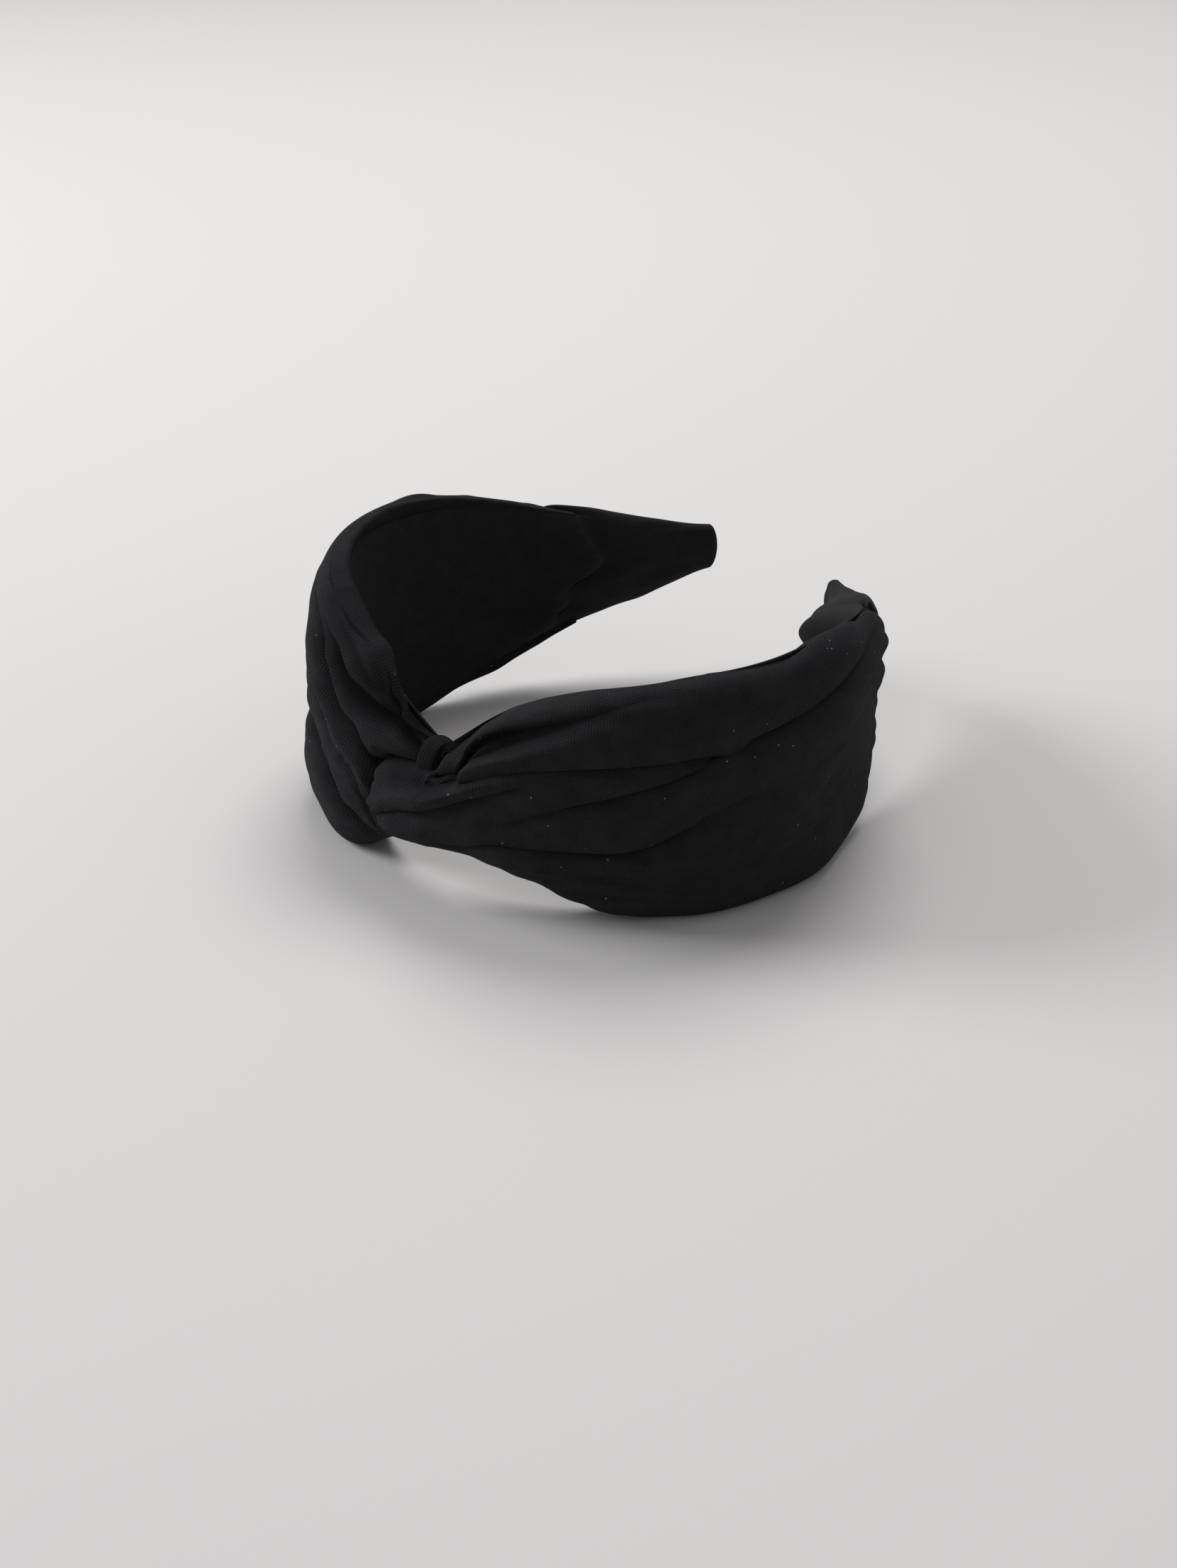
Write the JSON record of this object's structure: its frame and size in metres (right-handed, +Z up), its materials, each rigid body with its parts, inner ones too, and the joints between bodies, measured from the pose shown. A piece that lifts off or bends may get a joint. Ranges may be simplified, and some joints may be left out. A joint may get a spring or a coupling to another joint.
{
  "type": "knotted headband",
  "caption": "Springy U-shaped headband with a pleated fabric cover, a front knot, an inner lining and gathered sleeves over tapered tips.",
  "frame": {"origin": "centre of the footprint, on the surface that the band lies on", "axes": "+Y from the knot to the opening between the tips, +Z up along the band's height, +X towards the half whose fabric wraps over the knot"},
  "size_m": [0.142, 0.1562, 0.061],
  "materials": {
    "cover_fabric": "matte black fine twill with a soft peached nap",
    "lining_fabric": "matte black smooth brushed lining",
    "wadding": "white fibre wadding",
    "strip_plastic": "plain moulded plastic",
    "thread": "black sewing thread"
  },
  "bodies": {
    "crown": {"strip_crown": "strip_plastic", "wadding_crown": "wadding", "lining_crown": "lining_fabric", "knot_wrap": "cover_fabric", "knot_loop": "cover_fabric", "knot_fold_left": "cover_fabric", "knot_fold_right": "cover_fabric", "knot_tacks": "thread"},
    "left_arm": {"strip_left": "strip_plastic", "wadding_left": "wadding", "lining_left": "lining_fabric", "cover_left": "cover_fabric", "sleeve_left": "lining_fabric", "sleeve_stitches_left": "thread", "lining_stitches_left": "thread"},
    "right_arm": {"strip_right": "strip_plastic", "wadding_right": "wadding", "lining_right": "lining_fabric", "cover_right": "cover_fabric", "sleeve_right": "lining_fabric", "sleeve_stitches_right": "thread", "lining_stitches_right": "thread"}
  },
  "joints": [
    {"name": "left_arm_flex", "type": "hinge", "parent": "crown", "child": "left_arm", "pos_m": [-0.02309, -0.0703, 0.0305], "axis": [0, 0, 1], "range_deg": [0, 18], "stiffness_Nm_per_rad": 1.2},
    {"name": "right_arm_flex", "type": "hinge", "parent": "crown", "child": "right_arm", "pos_m": [0.02309, -0.0703, 0.0305], "axis": [0, 0, -1], "range_deg": [0, 18], "stiffness_Nm_per_rad": 1.2}
  ]
}
